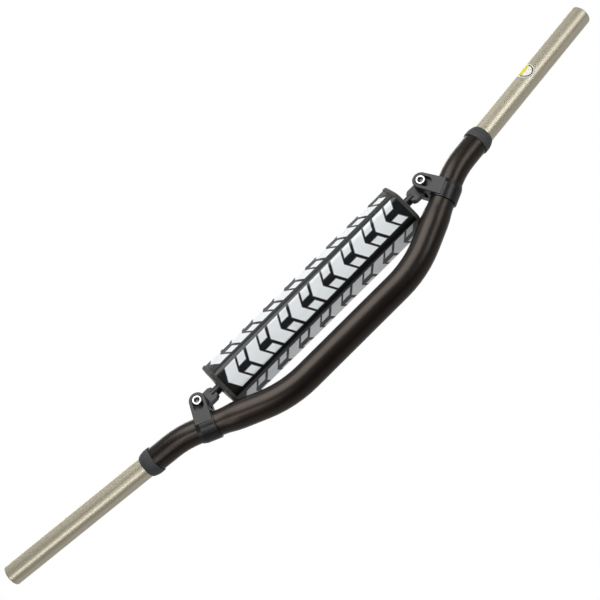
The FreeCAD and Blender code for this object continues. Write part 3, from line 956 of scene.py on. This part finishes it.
def makeBinding(side, sign):
    size = bindingSize

    def tapePoint(g, number):
        along, out = size["fold"][number]
        wobble = size["wobble"] * noise.noise(Vector((g / size["wobbleSize"], sign * 4.0, 0)))
        x = padSize["rimAt"] + along * mm + (wobble if along > -2.9 else wobble * 2)
        lift = out * mm + (rimLift(sign, g) if out > 0 else 0.0)
        return padPoint(sign * x, g, lift)[0], (number * size["foldStep"], g)

    ways = padWays(slitLowWay + size["fromSlit"], slitTopWay - size["fromSlit"])
    points, sewn, rows = gridPoints(ways, range(len(size["fold"])), tapePoint)
    faces = quadRows(rows, closed=True) + [tuple(rows[0]), tuple(reversed(rows[-1]))]
    binding = meshPiece(side + "Binding", points, faces, cloths["bindingTape"], sewn)
    turnOutwards(binding)
    soft = binding.modifiers.new("soft", "SUBSURF")
    soft.levels = 1
    soft.render_levels = 1
    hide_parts(side + "_pad_binding")


# one stitch: a short rounded thread between two points, raised in the middle
def addStitch(points, faces, start, end, out, radius):
    along = end - start
    way = along.normalized()
    across = way.cross(out).normalized()
    rows = []
    for step in range(7):
        t = step / 6
        thick = radius * math.sqrt(max(0.02, 1 - (2 * t - 1) ** 4))
        centre = start + along * t + out * (radius * 0.9 * math.sin(math.pi * t) - radius * 0.25)
        rows.append(list(range(len(points), len(points) + 8)))
        for spoke in range(8):
            turn = 2 * math.pi * spoke / 8
            points.append(centre + (across * math.cos(turn) + out * math.sin(turn)) * thick)
    faces += quadRows(rows, closed=True)
    faces += [tuple(rows[0]), tuple(reversed(rows[-1]))]


stitchSize = {"length": 2.1 * mm, "gap": 1.0 * mm, "radius": 0.27 * mm, "onBinding": 0.70 * mm,
              "fromSlit": 2.0 * mm, "fromRim": 1.9 * mm, "fromEdge": 1.4 * mm, "fromEnd": 1.2 * mm}


# stitches along lines; place(way) gives a point of the line and the way out there
def makeStitches(name, lines):
    points = []
    faces = []
    for place, start, end in lines:
        step = stitchSize["length"] + stitchSize["gap"]
        count = max(1, int((end - start) / step))
        step = (end - start) / count
        for i in range(count):
            a, out = place(start + i * step + stitchSize["gap"] / 2)
            b, _ = place(start + (i + 1) * step - stitchSize["gap"] / 2)
            addStitch(points, faces, a, b, out, stitchSize["radius"])
    flat = [(0.0, 0.0)] * len(points)
    turnOutwards(meshPiece(name, points, faces, cloths["seamThread"], flat))


def stitchBinding(side, sign):
    x = sign * (padSize["rimAt"] - stitchSize["fromRim"])

    def place(g):
        return padPoint(x, g, rimLift(sign, g) + stitchSize["onBinding"])

    margin = stitchSize["fromSlit"]
    makeStitches(side + "BindingStitches", [(place, slitLowWay + margin, slitTopWay - margin)])


for sideName, sideSign in (("left", 1), ("right", -1)):
    makeEndPanel(sideName, sideSign)
    makeBinding(sideName, sideSign)
    stitchBinding(sideName, sideSign)
print("pad ends bound")

# Closure: hook and loop strips one on the other under the flap, which is sewn all round
stripSize = {"thick": 0.95 * mm, "offPad": 0.2 * mm, "ripple": 0.06 * mm, "rippleSize": 4.0 * mm,
             "stationsAlong": 60, "stationsRound": 12}


def makeStrip(name, node, lift):
    size = stripSize

    def tapePoint(x, g):
        wave = size["ripple"] * noise.noise(Vector((x, g, lift)) / size["rippleSize"])
        return padPoint(x, g, size["offPad"] + lift + wave)[0], (x, g)

    along, down = size["stationsAlong"], size["stationsRound"]
    stations = [loopHigh[0] * (2 * i / along - 1) for i in range(along + 1)]
    ways = [stripTopWay + (stripLowWay - stripTopWay) * i / down for i in range(down + 1)]
    points, sewn, rows = gridPoints(stations, ways, tapePoint)
    faces = quadRows(rows)
    strip = meshPiece(name, points, faces, cloths["closureTape"], sewn)
    faceSheet(strip, padPoint(0.0, ways[1], 0.0)[1])
    addWall(strip, size["thick"], 1)
    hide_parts(node)


def stitchFlap():
    top = 6 * faceWay + stripTopWay + stitchSize["fromEdge"]
    low = 6 * faceWay + stripLowWay - stitchSize["fromEdge"]
    end = loopHigh[0] - stitchSize["fromEnd"]
    lines = [(lambda x, g=g: coverPoint(x, g), -end, end) for g in (top, low)]
    lines += [(lambda g, x=x: coverPoint(x, g), top, low) for x in (-end, end)]
    makeStitches("flapStitches", lines)


makeStrip("loopStrip", "pad_loop_strip", 0.10 * mm)
makeStrip("hookStrip", "pad_hook_strip", 1.08 * mm)
stitchFlap()
print("closure sewn")

# Bolts: knurled socket heads, with a thread where the back ear lets it show
boltSize = {"headRadius": 5.0 * mm, "headHeight": 6.0 * mm, "knurls": 36, "knurlDepth": 0.20 * mm,
            "socketFlat": 2.5 * mm, "socketDepth": 3.0 * mm, "shankRadius": 2.93 * mm,
            "threadLength": 8.0 * mm, "pitch": 1.0 * mm, "threadDepth": 0.5 * mm, "spokes": 144,
            "clear": 0.01 * mm}


def makeBolt(side):
    low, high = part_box(side + "_clamp_bolt")
    axisX, axisZ = (low[0] + high[0]) / 2, (low[2] + high[2]) / 2
    size = boltSize
    head, socket, seatAt = size["headRadius"], size["socketFlat"], size["headHeight"]
    full = high[1] - low[1] - 2 * size["clear"]
    knurlWave = 2 * math.pi / size["knurls"]

    def knurled(radius, share):
        def at(turn):
            wave = abs((turn % knurlWave) / knurlWave * 2 - 1)
            return radius - size["knurlDepth"] * share * (1 - wave)
        return at

    def plain(radius):
        return lambda turn: radius

    def hexagon(turn):
        return socket / math.cos((turn + math.pi / 6) % (math.pi / 3) - math.pi / 6)

    shank = plain(size["shankRadius"])
    rings = [(hexagon, size["socketDepth"]), (hexagon, 0.5 * mm), (hexagon, 0.28 * mm)]
    rings += [(plain(socket + 0.50 * mm), 0.03 * mm), (plain(socket + 0.56 * mm), 0.0)]
    rings += [(plain(head - 0.85 * mm), 0.0), (plain(head - 0.55 * mm), 0.05 * mm)]
    rings += [(plain(head - 0.28 * mm), 0.22 * mm), (knurled(head - 0.10 * mm, 0.2), 0.55 * mm)]
    rings += [(knurled(head, 1.0), 0.95 * mm), (knurled(head, 1.0), 4.9 * mm)]
    rings += [(plain(head - 0.12 * mm), 5.3 * mm), (plain(head - 0.05 * mm), 5.45 * mm)]
    rings += [(plain(head - 0.05 * mm), seatAt), (shank, seatAt), (shank, full - size["threadLength"])]
    rows = int(size["threadLength"] / size["pitch"] * 8)

    def threaded(y):
        def at(turn):
            phase = (y / size["pitch"] - turn / (2 * math.pi)) % 1.0
            tip = smoothStep((full - y) / (0.9 * mm))
            crest = size["shankRadius"] - size["threadDepth"] * (1 - abs(2 * phase - 1)) * 0.9
            return crest * tip + (size["shankRadius"] - size["threadDepth"]) * (1 - tip)
        return at

    for row in range(1, rows + 1):
        y = full - size["threadLength"] * (1 - row / rows)
        rings.append((threaded(y), y))
    points = []
    numbers = []
    for radiusAt, y in rings:
        numbers.append(list(range(len(points), len(points) + size["spokes"])))
        place = low[1] + size["clear"] + y
        for spoke in range(size["spokes"]):
            turn = 2 * math.pi * spoke / size["spokes"]
            radius = radiusAt(turn)
            points.append((axisX + radius * math.cos(turn), place, axisZ + radius * math.sin(turn)))
    faces = quadRows(numbers, closed=True)
    ends = ((numbers[0], size["socketDepth"] + 0.9 * mm), (numbers[-1], full))
    for row, y in ends:
        faces += [(row[i], row[(i + 1) % len(row)], len(points)) for i in range(len(row))]
        points.append((axisX, low[1] + y, axisZ))
    bolt = meshPiece(side + "ClampBolt", points, faces, boltZinc)
    turnOutwards(bolt)
    bolt.data.set_sharp_from_angle(angle=math.radians(32))
    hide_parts(side + "_clamp_bolt")


for sideName in ("left", "right"):
    makeBolt(sideName)
print("bolts made")

# Round sticker on the left grip
stickerSize = {"radius": 9.5 * mm, "offAxis": 11.16 * mm, "thick": 0.10 * mm, "alongFromMiddle": -6.5 * mm,
               "turn": 20.0, "rings": 14, "spokes": 72}
stickerFinish = {"white": (0.82, 0.81, 0.76), "yellow": (0.70, 0.60, 0.09), "ink": (0.03, 0.03, 0.03),
                 "soft": 0.25 * mm, "bandFrom": -0.8 * mm, "bandRadius": 7.9 * mm, "rimTop": 1.0 * mm,
                 "rimInner": 7.2 * mm, "rimOuter": 8.4 * mm, "film": (0.25, 0.4, 0.006)}


def makeStickerPaper(setup):
    material, tree, inputs = newMaterial("stickerPaper", setup["white"], 0.32)
    across, high = splitNode(tree, sewnCoordinates(tree))[:2]
    squares = mathNode(tree, "MULTIPLY_ADD", across, across, mathNode(tree, "MULTIPLY", high, high))
    far = mathNode(tree, "SQRT", squares)

    def above(value, edge):
        return softEdge(tree, mathNode(tree, "SUBTRACT", value, edge), setup["soft"])

    def below(value, edge):
        return softEdge(tree, mathNode(tree, "SUBTRACT", edge, value), setup["soft"])

    band = mathNode(tree, "MULTIPLY", above(high, setup["bandFrom"]), below(far, setup["bandRadius"]))
    rim = mathNode(tree, "MULTIPLY", above(far, setup["rimInner"]), below(far, setup["rimOuter"]))
    rim = mathNode(tree, "MULTIPLY", rim, below(high, setup["rimTop"]))
    colour = mixColour(tree, band, setup["white"], setup["yellow"])
    colour = mixColour(tree, rim, colour, setup["ink"])
    tree.links.new(colour, inputs["Base Color"])
    addFilm(tree, inputs, setup["film"])
    return material


def makeSticker():
    size = stickerSize
    middle = gripMiddle + gripAxis * size["alongFromMiddle"]
    front = Vector((0, -1, 0))
    front = (front - gripAxis * front.dot(gripAxis)).normalized()
    over = gripAxis.cross(front)
    if over.z < 0:
        over = -over

    def outAt(high):
        angle = math.radians(size["turn"]) + high / size["offAxis"]
        return front * math.cos(angle) + over * math.sin(angle)

    def stickerPoint(ring, spoke):
        turn = 2 * math.pi * spoke / size["spokes"]
        far = size["radius"] * ring / size["rings"]
        along, high = far * math.cos(turn), far * math.sin(turn)
        return middle + gripAxis * along + outAt(high) * size["offAxis"], (along, high)

    points, sewn, rows = gridPoints(range(1, size["rings"] + 1), range(size["spokes"]), stickerPoint)
    centre = len(points)
    points.append(middle + outAt(0.0) * size["offAxis"])
    sewn.append((0.0, 0.0))
    faces = quadRows(rows, closed=True)
    faces += [(centre, rows[0][i], rows[0][(i + 1) % size["spokes"]]) for i in range(size["spokes"])]
    paper = makeStickerPaper(stickerFinish)
    sticker = meshPiece("gripSticker", points, faces, paper, sewn)
    turnOutwards(sticker)
    faceSheet(sticker, outAt(0.0))
    addWall(sticker, size["thick"], 1)


makeSticker()
print("sticker placed")
